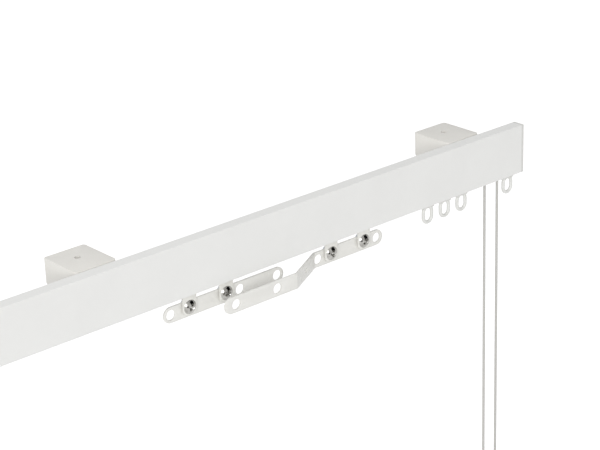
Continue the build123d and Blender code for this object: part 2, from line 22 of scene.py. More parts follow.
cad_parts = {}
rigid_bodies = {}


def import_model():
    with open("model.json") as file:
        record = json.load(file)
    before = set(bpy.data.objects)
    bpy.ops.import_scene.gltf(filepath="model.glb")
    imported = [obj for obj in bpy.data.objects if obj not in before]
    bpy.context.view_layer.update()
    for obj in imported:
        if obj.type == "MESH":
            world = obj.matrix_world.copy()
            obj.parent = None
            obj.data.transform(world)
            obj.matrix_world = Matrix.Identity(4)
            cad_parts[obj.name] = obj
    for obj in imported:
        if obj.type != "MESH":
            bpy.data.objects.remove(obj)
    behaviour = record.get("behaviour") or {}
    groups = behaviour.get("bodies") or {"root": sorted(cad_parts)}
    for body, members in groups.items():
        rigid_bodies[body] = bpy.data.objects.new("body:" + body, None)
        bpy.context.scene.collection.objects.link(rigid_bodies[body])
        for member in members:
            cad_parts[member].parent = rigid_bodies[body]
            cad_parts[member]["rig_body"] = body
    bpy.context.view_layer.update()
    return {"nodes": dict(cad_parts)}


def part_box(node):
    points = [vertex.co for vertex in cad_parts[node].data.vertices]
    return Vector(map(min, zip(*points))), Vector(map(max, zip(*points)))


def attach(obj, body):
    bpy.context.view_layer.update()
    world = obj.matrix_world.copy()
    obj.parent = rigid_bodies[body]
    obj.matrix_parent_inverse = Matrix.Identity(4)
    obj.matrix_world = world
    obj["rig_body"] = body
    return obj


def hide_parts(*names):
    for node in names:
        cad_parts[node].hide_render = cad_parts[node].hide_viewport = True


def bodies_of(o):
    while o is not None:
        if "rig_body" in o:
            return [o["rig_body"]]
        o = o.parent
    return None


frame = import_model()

log = logging.getLogger("curtain_track")

MM = 0.001
SMOOTH_ANGLE = math.radians(38)
FLAT_ANGLE = math.radians(0.5)
MERGE_REACH = 1e-6
FACING_ROOM = (math.pi / 2, 0, 0)
# How far a face may lean, as its normal's share along an axis, and a step that is as good as none
NEARLY_SQUARE = 0.9
HAIR = 0.01


class Slot(Enum):
    """The record's material slots."""

    PROFILE = "profile_coat"
    CAP = "cap_plastic"
    BRACKET = "bracket_plastic"
    GLIDER = "glider_plastic"
    CARRIER = "carrier_plastic"
    ARM = "arm_coat"
    SCREW = "zinc_screw"
    STEEL = "zinc_steel"
    AXLE = "axle_steel"
    WHEEL = "acetal"
    CORD = "cord_braid"
    WEIGHT = "weight_plastic"
    CORE = "core_steel"


class Boolean(Enum):
    """What a second solid does to a piece."""

    CUT = "DIFFERENCE"
    FUSE = "UNION"
    KEEP = "INTERSECT"


class Grain(Enum):
    """How a surface was made, which sets the shape of its relief."""

    ORANGE_PEEL = "sprayed powder, melted to a skin"
    ERODED = "moulded against a spark-eroded steel"
    ROLLED = "drawn or rolled metal"


# Helpers for modelling


def deselect_all() -> None:
    """Deselects every object, so that an operator acts on the new piece alone."""
    bpy.ops.object.select_all(action="DESELECT")


def pick_only(piece: bpy.types.Object) -> None:
    """Selects one piece alone and makes it the active one.

    Args:
        piece: The object.
    """
    deselect_all()
    piece.select_set(True)
    bpy.context.view_layer.objects.active = piece


def newest(name: str) -> bpy.types.Object:
    """Names the object that an operator has just added.

    Args:
        name: The piece's name.

    Returns:
        The active object.
    """
    piece = bpy.context.object
    piece.name = name
    piece.data.name = name
    return piece


def apply_place(piece: bpy.types.Object) -> None:
    """Puts a piece's place, turn and scale into its mesh.

    Args:
        piece: The mesh object.
    """
    pick_only(piece)
    bpy.ops.object.transform_apply(location=True, rotation=True, scale=True)


def settle(piece: bpy.types.Object, place: Vector) -> None:
    """Brings a piece from millimetres about its reference point to metres at its place.

    Args:
        piece: The mesh object, modelled in millimetres.
        place: Where its reference point goes, in the part's frame.
    """
    piece.scale = (MM, MM, MM)
    piece.location = place
    apply_place(piece)


@contextmanager
def editing(piece: bpy.types.Object) -> Iterator[None]:
    """Edit mode on one piece, left again at the end.

    Args:
        piece: The mesh object.
    """
    pick_only(piece)
    bpy.ops.object.mode_set(mode="EDIT")
    yield
    bpy.ops.object.mode_set(mode="OBJECT")


def pick_points(piece: bpy.types.Object, rule: Callable[[Vector], bool]) -> None:
    """Selects, in edit mode, the points whose place follows a rule.

    Args:
        piece: The mesh object in edit mode.
        rule: True for a place that is picked.
    """
    bpy.ops.mesh.select_mode(type="VERT")
    bpy.ops.mesh.select_all(action="DESELECT")
    bpy.ops.object.mode_set(mode="OBJECT")
    for point in piece.data.vertices:
        point.select = rule(point.co)
    bpy.ops.object.mode_set(mode="EDIT")


def pick_faces(piece: bpy.types.Object, rule: Callable[[bpy.types.MeshPolygon], bool]) -> None:
    """Selects, in edit mode, the faces that follow a rule.

    Args:
        piece: The mesh object in edit mode.
        rule: True for a face that is picked.
    """
    bpy.ops.mesh.select_mode(type="FACE")
    bpy.ops.mesh.select_all(action="DESELECT")
    bpy.ops.object.mode_set(mode="OBJECT")
    for face in piece.data.polygons:
        face.select = rule(face)
    bpy.ops.object.mode_set(mode="EDIT")


def apply_modifier(piece: bpy.types.Object, kind: str, **settings: object) -> None:
    """Adds a modifier, sets it and applies it.

    Args:
        piece: The mesh object.
        kind: The modifier's type.
        settings: The modifier's values by name.
    """
    modifier = piece.modifiers.new(kind.lower(), kind)
    for key, value in settings.items():
        setattr(modifier, key, value)
    bpy.context.view_layer.objects.active = piece
    bpy.ops.object.modifier_apply(modifier=modifier.name)


def combine(piece: bpy.types.Object, other: bpy.types.Object, how: Boolean) -> None:
    """Cuts, fuses or trims a piece with a second solid, which is used up.

    Args:
        piece: The mesh object that stays.
        other: The second solid.
        how: What it does.
    """
    apply_modifier(piece, "BOOLEAN", operation=how.value, solver="EXACT", object=other)
    bpy.data.objects.remove(other)


def join(pieces: Sequence[bpy.types.Object]) -> bpy.types.Object:
    """Joins several meshes in one object.

    Args:
        pieces: The mesh objects; the first one stays.

    Returns:
        The joined object.
    """
    deselect_all()
    for piece in pieces:
        piece.select_set(True)
    bpy.context.view_layer.objects.active = pieces[0]
    bpy.ops.object.join()
    return pieces[0]


def soften_edges(piece: bpy.types.Object, width: float, segments: int = 3) -> None:
    """Rounds a piece's sharp edges and shades it smooth between the edges that are left.

    Args:
        piece: The mesh object.
        width: How far the round reaches from the edge, in the mesh's units.
        segments: Facets across the round.
    """
    apply_modifier(
        piece,
        "BEVEL",
        width=width,
        segments=segments,
        limit_method="ANGLE",
        angle_limit=SMOOTH_ANGLE,
        miter_outer="MITER_ARC",
    )
    shade(piece)


def shade(piece: bpy.types.Object) -> None:
    """Shades a piece smooth, apart from its sharp edges.

    Args:
        piece: The mesh object.
    """
    pick_only(piece)
    bpy.ops.object.shade_smooth_by_angle(angle=SMOOTH_ANGLE)


def box_solid(size: tuple[float, float, float], middle: tuple[float, float, float]) -> bpy.types.Object:
    """Adds a plain block, for joining or cutting.

    Args:
        size: Its width, depth and height.
        middle: Its centre.

    Returns:
        The new object.
    """
    deselect_all()
    bpy.ops.mesh.primitive_cube_add(size=1, location=middle)
    block = newest("block")
    block.scale = size
    apply_place(block)
    return block


def round_solid(
    radius: float,
    depth: float,
    middle: tuple[float, float, float],
    turn: tuple[float, float, float] = (0, 0, 0),
    sides: int = 64,
) -> bpy.types.Object:
    """Adds a plain cylinder, for joining or cutting.

    Args:
        radius: Its radius.
        depth: Its length.
        middle: Its centre.
        turn: Its rotation about X, Y and Z.
        sides: Its number of sides.

    Returns:
        The new object.
    """
    deselect_all()
    bpy.ops.mesh.primitive_cylinder_add(
        vertices=sides, radius=radius, depth=depth, location=middle, rotation=turn
    )
    rod = newest("rod")
    apply_place(rod)
    return rod


def copy_of(piece: bpy.types.Object, name: str) -> bpy.types.Object:
    """Copies a piece with a mesh of its own.

    Args:
        piece: The object to copy.
        name: The copy's name.

    Returns:
        The copy.
    """
    twin = bpy.data.objects.new(name, piece.data.copy())
    twin.data.name = name
    bpy.context.collection.objects.link(twin)
    return twin


def clean_copy(node: str, name: str) -> bpy.types.Object:
    """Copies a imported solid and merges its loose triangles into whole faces.

    Args:
        node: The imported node.
        name: The new piece's name.

    Returns:
        The new piece.
    """
    piece = copy_of(frame["nodes"][node], name)
    piece.data.materials.clear()
    with editing(piece):
        bpy.ops.mesh.select_all(action="SELECT")
        bpy.ops.mesh.remove_doubles(threshold=MERGE_REACH)
        bpy.ops.mesh.dissolve_limited(angle_limit=FLAT_ANGLE)
    return piece


def softened_copy(node: str, name: str, width: float, segments: int = 3) -> bpy.types.Object:
    """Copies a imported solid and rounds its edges.

    Args:
        node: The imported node.
        name: The new piece's name.
        width: How far the round reaches from an edge, in millimetres.
        segments: Facets across the round.

    Returns:
        The new piece.
    """
    piece = clean_copy(node, name)
    soften_edges(piece, width * MM, segments)
    return piece


# Finishes


def linear(colour: str) -> tuple[float, float, float, float]:
    """Turns an sRGB hex colour into linear values.

    Args:
        colour: Six hex digits after a #.

    Returns:
        Red, green, blue and an alpha of 1.
    """
    parts = [int(colour[i : i + 2], 16) / 255 for i in (1, 3, 5)]
    values = [p / 12.92 if p <= 0.04045 else ((p + 0.055) / 1.055) ** 2.4 for p in parts]
    return (*values, 1.0)


def add_node(
    tree: bpy.types.NodeTree, kind: str, settings: dict | None = None, inputs: dict | None = None
) -> bpy.types.Node:
    """Adds a node with its settings and links.

    Args:
        tree: The node tree.
        kind: The node's type.
        settings: The node's own values by name.
        inputs: For each input, by name or number, a value or the output that feeds it.

    Returns:
        The new node.
    """
    node = tree.nodes.new(kind)
    for key, value in (settings or {}).items():
        setattr(node, key, value)
    for key, value in (inputs or {}).items():
        if isinstance(value, bpy.types.NodeSocket):
            tree.links.new(value, node.inputs[key])
        else:
            node.inputs[key].default_value = value
    return node


def empty_material(name: str) -> tuple[bpy.types.Material, bpy.types.NodeTree]:
    """Makes a material with no nodes.

    Args:
        name: The material's name.

    Returns:
        The material and its node tree.
    """
    material = bpy.data.materials.new(name)
    material.use_nodes = True
    material.node_tree.nodes.clear()
    return material, material.node_tree


@dataclass(frozen=True)
class Finish:
    """A coated, moulded or plated surface with its grain and its uneven gloss.

    The peel of a powder coat is as wide as on such coats. Moulded, plated and rolled grain is finer on the
    real thing than the widths here, which are as coarse as a close view needs. A second, wider wave moves
    the colour and the gloss a little, as handling and the melt's flow do.
    """

    name: str
    colour: str
    shade: str
    roughness: float
    gloss_spread: float = 0.05
    metallic: float = 0.0
    ior: float = 1.5
    grain: Grain = Grain.ERODED
    grain_width: float = 0.4
    grain_height: float = 0.01
    wave_width: float = 14.0

    def stretch(self) -> tuple[float, float, float]:
        """How much the grain is drawn out along X: rolled metal has long streaks."""
        return (0.06, 1.0, 1.0) if self.grain is Grain.ROLLED else (1.0, 1.0, 1.0)

    @cache
    def material(self) -> bpy.types.Material:
        """Builds the finish once.

        Returns:
            The material.
        """
        material, tree = empty_material(self.name)
        place = add_node(tree, "ShaderNodeTexCoord").outputs["Object"]
        drawn = add_node(tree, "ShaderNodeMapping", None, {"Vector": place, "Scale": self.stretch()})
        wave = add_node(
            tree,
            "ShaderNodeTexNoise",
            None,
            {"Vector": place, "Scale": 1 / (self.wave_width * MM), "Detail": 3.0, "Roughness": 0.6},
        )
        grain = add_node(
            tree,
            "ShaderNodeTexNoise",
            None,
            {
                "Vector": drawn.outputs["Vector"],
                "Scale": 1 / (self.grain_width * MM),
                "Detail": 1.0 if self.grain is Grain.ORANGE_PEEL else 4.0,
                "Roughness": 0.35 if self.grain is Grain.ORANGE_PEEL else 0.65,
            },
        )
        tint = add_node(tree, "ShaderNodeValToRGB", None, {"Fac": wave.outputs["Fac"]})
        tint.color_ramp.elements[0].position = 0.3
        tint.color_ramp.elements[0].color = linear(self.shade)
        tint.color_ramp.elements[1].position = 0.62
        tint.color_ramp.elements[1].color = linear(self.colour)
        gloss = add_node(
            tree,
            "ShaderNodeMapRange",
            None,
            {
                "Value": wave.outputs["Fac"],
                "From Min": 0.3,
                "From Max": 0.7,
                "To Min": self.roughness - self.gloss_spread,
                "To Max": self.roughness + self.gloss_spread,
            },
        )
        relief = add_node(
            tree,
            "ShaderNodeBump",
            None,
            {"Height": grain.outputs["Fac"], "Distance": self.grain_height * MM, "Strength": 1.0},
        )
        shader = add_node(
            tree,
            "ShaderNodeBsdfPrincipled",
            None,
            {
                "Base Color": tint.outputs["Color"],
                "Roughness": gloss.outputs["Result"],
                "Normal": relief.outputs["Normal"],
                "Metallic": self.metallic,
            },
        )
        if not self.metallic:
            shader.inputs["IOR"].default_value = self.ior
        add_node(tree, "ShaderNodeOutputMaterial", None, {"Surface": shader.outputs["BSDF"]})
        return material


@dataclass(frozen=True)
class BraidFinish:
    """Polyester braid: plaits that cross over and under, each of a few parallel threads.

    It reads the cord's own UV map: U goes once round, V counts plaits along. Valleys get painted shade.
    """

    name: str
    colour: str
    # The colour between the plaits, darker than the plaits' own: painted shade where they cross
    painted_valley_shade: str
    plaits: int
    threads: int = 4
    roughness: float = 0.62
    thread_height: float = 0.02

    @cache
    def material(self) -> bpy.types.Material:
        """Builds the finish once.

        Returns:
            The material.
        """
        material, tree = empty_material(self.name)

        def maths(operation: str, first: object, second: object = 0.0) -> bpy.types.NodeSocket:
            """A sum, product or wave of one or two values."""
            node = add_node(tree, "ShaderNodeMath", {"operation": operation}, {0: first, 1: second})
            return node.outputs[0]

        place = add_node(tree, "ShaderNodeUVMap", {"uv_map": "braid"}).outputs["UV"]
        parts = add_node(tree, "ShaderNodeSeparateXYZ", None, {"Vector": place})
        round_it = maths("MULTIPLY", parts.outputs["X"], float(self.plaits))
        along = parts.outputs["Y"]
        right = maths("ADD", round_it, along)
        left = maths("SUBTRACT", round_it, along)
        cells = maths("ADD", maths("FLOOR", right), maths("FLOOR", left))
        on_top = maths("PINGPONG", cells, 1.0)
        crown = maths(
            "MULTIPLY",
            maths("ABSOLUTE", maths("SINE", maths("MULTIPLY", right, math.pi))),
            maths("ABSOLUTE", maths("SINE", maths("MULTIPLY", left, math.pi))),
        )
        turn = 2 * math.pi * self.threads
        right_threads = maths("SINE", maths("MULTIPLY", right, turn))
        left_threads = maths("SINE", maths("MULTIPLY", left, turn))
        threads = add_node(
            tree, "ShaderNodeMix", {"data_type": "FLOAT"}, {0: on_top, 2: right_threads, 3: left_threads}
        ).outputs[0]
        # Painted shade: the valleys between the plaits get the darker valley colour
        tint = add_node(tree, "ShaderNodeValToRGB", None, {"Fac": crown})
        tint.color_ramp.elements[0].color = linear(self.painted_valley_shade)
        tint.color_ramp.elements[1].position = 0.55
        tint.color_ramp.elements[1].color = linear(self.colour)
        relief = add_node(
            tree,
            "ShaderNodeBump",
            None,
            {"Height": threads, "Distance": self.thread_height * MM, "Strength": 0.7},
        )
        shader = add_node(
            tree,
            "ShaderNodeBsdfPrincipled",
            None,
            {
                "Base Color": tint.outputs["Color"],
                "Roughness": self.roughness,
                "Normal": relief.outputs["Normal"],
                "Sheen Weight": 0.15,
                "IOR": 1.55,
            },
        )
        add_node(tree, "ShaderNodeOutputMaterial", None, {"Surface": shader.outputs["BSDF"]})
        return material


# Polyester powder on aluminium: a satin skin with a faint orange peel that only shows in the gloss
PROFILE_COAT = Finish(
    "satin_powder_coat_on_aluminium",
    colour="#EAEAE8",
    shade="#E7E7E5",
    roughness=0.38,
    grain=Grain.ORANGE_PEEL,
    grain_width=1.3,
    grain_height=0.012,
    wave_width=45.0,
)
# Powder coat on pressed steel strip: the same skin, a little glossier and warmer than the profile's
ARM_COAT = Finish(
    "gloss_powder_coat_on_steel_strip",
    colour="#E8E7E3",
    shade="#E2E1DC",
    roughness=0.3,
    grain=Grain.ORANGE_PEEL,
    grain_width=1.0,
    grain_height=0.01,
    wave_width=22.0,
)
# Moulded ABS: an even, slightly duller white than the coat beside it, with an eroded grain
CAP_ABS = Finish(
    "moulded_abs_end_cap", colour="#D9D9D6", shade="#D5D5D1", roughness=0.42, ior=1.52, grain_width=0.35
)
# Moulded ABS of the ceiling blocks: warmer, with soft flow marks across the large flat top
BRACKET_ABS = Finish(
    "moulded_abs_ceiling_block",
    colour="#E4E2DD",
    shade="#DFDDD7",
    roughness=0.46,
    ior=1.52,
    grain_width=0.45,
    grain_height=0.012,
    wave_width=26.0,
)
# Acetal of the gliders: a waxy, slightly grey white, polished where it runs
GLIDER_ACETAL = Finish(
    "moulded_acetal_glider",
    colour="#E2E2DF",
    shade="#DCDCD8",
    roughness=0.34,
    ior=1.48,
    grain_width=0.5,
    grain_height=0.006,
    wave_width=8.0,
)
# Nylon of the carriers and housings: dull and a touch ivory, as nylon takes up moisture
CARRIER_NYLON = Finish(
    "moulded_nylon_carrier", colour="#E8E7E2", shade="#E2E1DB", roughness=0.44, ior=1.53, grain_width=0.4
)
# Acetal of the wheels: ivory, machined smooth
WHEEL_ACETAL = Finish(
    "turned_acetal_wheel", colour="#E6E3DA", shade="#DEDACF", roughness=0.3, ior=1.48, grain_height=0.004
)
# Moulded polypropylene of the weight: soft satin with long flow marks
WEIGHT_PLASTIC = Finish(
    "moulded_polypropylene_weight",
    colour="#E8E8E6",
    shade="#E3E3E0",
    roughness=0.4,
    ior=1.49,
    grain_width=0.5,
    grain_height=0.01,
    wave_width=30.0,
)
# Bright nickel plate on the arms' screws: polished and a little grey, with small pits in the reflection
SCREW_NICKEL = Finish(
    "bright_nickel_plate",
    colour="#B0AFAB",
    shade="#8F8D89",
    roughness=0.12,
    gloss_spread=0.04,
    metallic=1.0,
    grain_width=0.5,
    grain_height=0.01,
    wave_width=3.0,
)
# Blue-white zinc on the nuts, the cord clamps and the other screws: duller than nickel, and cloudy
STEEL_ZINC = Finish(
    "blue_zinc_plate",
    colour="#C3C6CA",
    shade="#A3A7AD",
    roughness=0.33,
    gloss_spread=0.08,
    metallic=1.0,
    grain_width=0.6,
    grain_height=0.012,
    wave_width=4.0,
)
# Ground steel axles: fine streaks along the bar
AXLE_STEEL = Finish(
    "ground_steel_axle",
    colour="#BDBEC0",
    shade="#A9AAAD",
    roughness=0.24,
    metallic=1.0,
    grain=Grain.ROLLED,
    grain_width=0.25,
    grain_height=0.004,
    wave_width=5.0,
)
# Sawn steel bar inside the weight: dark, rolled skin
CORE_STEEL = Finish(
    "sawn_steel_core",
    colour="#8F9092",
    shade="#737476",
    roughness=0.5,
    gloss_spread=0.1,
    metallic=1.0,
    grain=Grain.ROLLED,
    grain_width=0.5,
    grain_height=0.02,
    wave_width=9.0,
)
# The first colour is the cord's own; the valley colour is painted shade between the plaits
BRAID = BraidFinish("braided_polyester_cord", colour="#CBCAC6", painted_valley_shade="#B0AEAA", plaits=8)


def body_of(node: str) -> str:
    """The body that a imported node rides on."""
    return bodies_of(frame["nodes"][node])[0]


def dress(piece: bpy.types.Object, node: str, finish: Finish | BraidFinish) -> None:
    """Gives a new piece its finish and its body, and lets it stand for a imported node.

    Args:
        piece: The new piece.
        node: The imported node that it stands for.
        finish: Its finish.
    """
    piece.data.materials.clear()
    piece.data.materials.append(finish.material())
    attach(piece, body_of(node))
    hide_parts(node)
    log.info("%s stands for %s on %s, %d faces", piece.name, node, body_of(node), len(piece.data.polygons))


def paint(node: str, finish: Finish) -> None:
    """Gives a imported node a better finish.

    Args:
        node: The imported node.
        finish: Its finish.
    """
    solid = frame["nodes"][node]
    if not solid.material_slots:
        solid.data.materials.append(None)
    for material_slot in solid.material_slots:
        material_slot.material = finish.material()
    log.info("%s keeps its shape on %s", node, body_of(node))


# The studio


@dataclass
class Studio:
    """A white studio with a camera at the photograph's angle.

    The camera looks down along the track from the left. Its place and turn were fitted to the corners of
    the brackets, the track and the arms, with the picture's centre on the lens axis.
    """

    place: tuple[float, float, float] = (-803.0, -963.3, 478.5)
    # Angles in degrees, and the focal length and the picture's width in pixels
    yaw: float = 40.602
    pitch: float = 22.017
    roll: float = -2.046
    focal_pixels: float = 1835.9
    picture_width: int = 600
    sensor: float = 36.0
    floor_drop: float = 355.2
    # The floor's side, in metres
    floor_size: float = 60.0
    floor_white: str = "#E9E9E9"
    floor_lift: float = 0.6
    ambient: float = 0.52
    card_black: str = "#141414"
    # Each lamp's name, place and side in metres, and its power in watts
    lamps: Sequence[tuple[str, tuple[float, float, float], float, float]] = (
        ("key_softbox", (-3.9, -4.65, 2.1), 3.2, 222.0),
        ("top_softbox", (-0.65, 0.1, 0.85), 0.6, 2.4),
    )
    # Each dark card's place and side, in metres
    cards: Sequence[tuple[tuple[float, float, float], float]] = (
        ((1.5, -1.4, 0.7), 1.9),
        ((-0.45, -1.3, -0.2), 0.5),
    )

    def camera(self) -> None:
        """Adds the camera and makes it the scene's own."""
        data = bpy.data.cameras.new("camera")
        data.sensor_width = self.sensor
        data.lens = self.focal_pixels * self.sensor / self.picture_width
        camera = bpy.data.objects.new("camera", data)
        bpy.context.scene.collection.objects.link(camera)
        yaw, pitch, roll = (math.radians(a) for a in (self.yaw, self.pitch, self.roll))
        forward = Vector(
            (math.sin(yaw) * math.cos(pitch), math.cos(yaw) * math.cos(pitch), -math.sin(pitch))
        )
        level = Vector((math.cos(yaw), -math.sin(yaw), 0))
        upward = level.cross(forward)
        side = math.cos(roll) * level + math.sin(roll) * upward
        top = math.cos(roll) * upward - math.sin(roll) * level
        turn = Matrix((side, top, -forward)).transposed().to_4x4()
        camera.matrix_world = Matrix.Translation(Vector(self.place) * MM) @ turn
        bpy.context.scene.camera = camera

    def seen_directly(self, tree: bpy.types.NodeTree) -> bpy.types.NodeSocket:
        """A value that is 1 for what the camera, a gloss or a glass sees.

        Args:
            tree: The node tree.

        Returns:
            The output that carries the value.
        """
        path = add_node(tree, "ShaderNodeLightPath")
        either = add_node(
            tree,
            "ShaderNodeMath",
            {"operation": "MAXIMUM"},
            {0: path.outputs["Is Camera Ray"], 1: path.outputs["Is Glossy Ray"]},
        )
        return add_node(
            tree,
            "ShaderNodeMath",
            {"operation": "MAXIMUM"},
            {0: either.outputs[0], 1: path.outputs["Is Transmission Ray"]},
        ).outputs[0]

    def world(self) -> None:
        """Makes a white world that lights the part at a plain level."""
        world = bpy.data.worlds.new("studio")
        world.use_nodes = True
        tree = world.node_tree
        tree.nodes.clear()
        light = add_node(tree, "ShaderNodeBackground", None, {"Strength": self.ambient})
        light.inputs["Color"].default_value = linear("#FFFFFF")
        shown = add_node(tree, "ShaderNodeBackground", None, {"Strength": 1.0})
        shown.inputs["Color"].default_value = linear("#FFFFFF")
        mixed = add_node(
            tree,
            "ShaderNodeMixShader",
            None,
            {0: self.seen_directly(tree), 1: light.outputs[0], 2: shown.outputs[0]},
        )
        add_node(tree, "ShaderNodeOutputWorld", None, {"Surface": mixed.outputs[0]})
        bpy.context.scene.world = world

    def floor(self) -> None:
        """Adds a pale floor below the weight, which keeps the part's shadow."""
        deselect_all()
        bpy.ops.mesh.primitive_plane_add(size=self.floor_size, location=(0, 0, -self.floor_drop * MM))
        floor = newest("studio_floor")
        material, tree = empty_material("pale_floor")
        diffuse = add_node(tree, "ShaderNodeBsdfDiffuse", None, {"Color": linear(self.floor_white)})
        lift = add_node(
            tree,
            "ShaderNodeMath",
            {"operation": "MULTIPLY"},
            {0: self.seen_directly(tree), 1: self.floor_lift},
        )
        glow = add_node(tree, "ShaderNodeEmission", None, {"Strength": lift.outputs[0]})
        both = add_node(tree, "ShaderNodeAddShader", None, {0: diffuse.outputs[0], 1: glow.outputs[0]})
        add_node(tree, "ShaderNodeOutputMaterial", None, {"Surface": both.outputs[0]})
        floor.data.materials.append(material)

    def lamp(self, name: str, place: tuple[float, float, float], size: float, watts: float) -> None:
        """Adds a square soft light that points at the part.

        Args:
            name: The light's name.
            place: Its place, in metres.
            size: The length of its side, in metres.
            watts: Its power.
        """
        data = bpy.data.lights.new(name, "AREA")
        data.size = size
        data.energy = watts
        lamp = bpy.data.objects.new(name, data)
        bpy.context.scene.collection.objects.link(lamp)
        lamp.location = place
        lamp.visible_camera = False
        lamp.rotation_mode = "QUATERNION"
        lamp.rotation_quaternion = (-Vector(place)).to_track_quat("-Z", "Y")

    def dark_card(self, place: tuple[float, float, float], size: float) -> None:
        """Adds a dark card that only shows in reflections, most of all in the polished screw heads.

        Args:
            place: Its place, in metres.
            size: The length of its side, in metres.
        """
        deselect_all()
        bpy.ops.mesh.primitive_plane_add(size=size, location=place)
        card = newest("dark_card")
        card.rotation_mode = "QUATERNION"
        card.rotation_quaternion = (-Vector(place)).to_track_quat("Z", "Y")
        material, tree = empty_material("black_card")
        matt = add_node(tree, "ShaderNodeBsdfDiffuse", None, {"Color": linear(self.card_black)})
        add_node(tree, "ShaderNodeOutputMaterial", None, {"Surface": matt.outputs[0]})
        card.data.materials.append(material)
        card.visible_camera = False
        card.visible_diffuse = False
        card.visible_transmission = False
        card.visible_shadow = False

    def build(self) -> None:
        """Sets up the whole studio."""
        bpy.context.scene.view_settings.view_transform = "Standard"
        self.camera()
        self.world()
        self.floor()
        for name, place, size, watts in self.lamps:
            self.lamp(name, place, size, watts)
        for place, size in self.cards:
            self.dark_card(place, size)


# The cords


